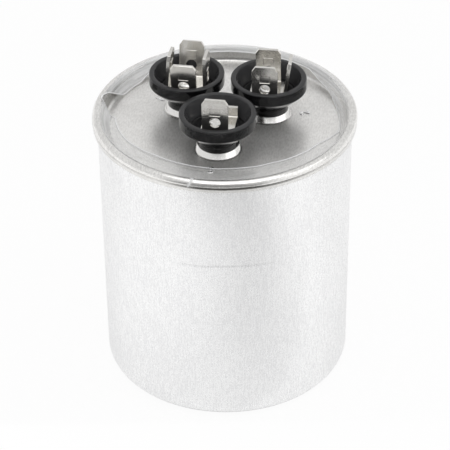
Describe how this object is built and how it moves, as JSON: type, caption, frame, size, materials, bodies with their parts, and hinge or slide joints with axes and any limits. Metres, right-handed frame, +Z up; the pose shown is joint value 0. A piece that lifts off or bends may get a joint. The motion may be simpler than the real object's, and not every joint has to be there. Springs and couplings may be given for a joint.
{
  "type": "dual motor-run capacitor",
  "caption": "Round sealed aluminium capacitor can with a rolled-on lid, cupped black insulators carrying push-on tab terminals, and a clear film sleeve.",
  "frame": {"origin": "middle of the can's base, on the surface that it stands on", "axes": "+Z up along the can's axis, -Y towards the fan terminal, +X towards the compressor terminal"},
  "size_m": [0.0664, 0.0664, 0.0859],
  "materials": {
    "can": "satin, fine upright drawing lines",
    "lid": "satin, fine grain",
    "insulator": "moulded, glossy black",
    "terminal": "tin-plated sheet, slightly warm grey",
    "rivet": "bright plated",
    "washer": "soft black",
    "film": "clear shrink film"
  },
  "bodies": {
    "root": {"can": "can", "lid": "lid", "insulator_common": "insulator", "insulator_compressor": "insulator", "insulator_fan": "insulator", "terminal_common": "terminal", "terminal_compressor": "terminal", "terminal_fan": "terminal", "rivets": "rivet", "sealing_washers": "washer", "film_sleeve": "film"}
  },
  "joints": []
}
